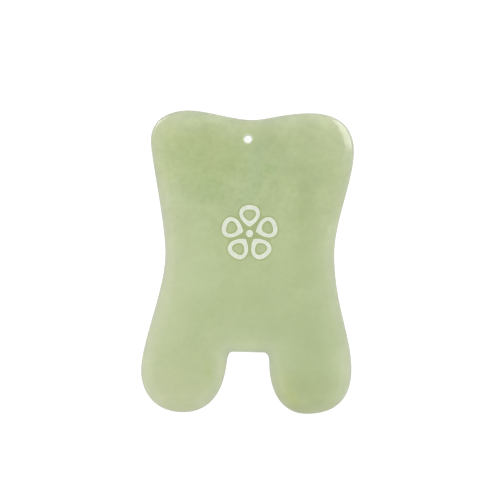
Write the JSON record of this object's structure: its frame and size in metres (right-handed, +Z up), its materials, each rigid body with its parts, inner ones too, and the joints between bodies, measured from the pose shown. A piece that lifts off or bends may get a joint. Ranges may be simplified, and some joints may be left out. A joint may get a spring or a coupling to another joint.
{
  "type": "gua sha scraper",
  "caption": "Flat jade gua sha scraper with rounded shoulders, a waist and a finger notch between two round feet, a cord hole and an enamel-filled engraved flower.",
  "frame": {"origin": "on the underside, at the middle of the plate's length and width", "axes": "+Z up out of the engraved face, +Y towards the cord hole, +X to the right seen from above"},
  "size_m": [0.0596, 0.085, 0.006],
  "materials": {
    "jade": "polished",
    "enamel": "satin"
  },
  "bodies": {
    "root": {"jade_plate": "jade", "enamel_petal_1": "enamel", "enamel_petal_2": "enamel", "enamel_petal_3": "enamel", "enamel_petal_4": "enamel", "enamel_petal_5": "enamel", "enamel_heart": "enamel"}
  },
  "joints": []
}
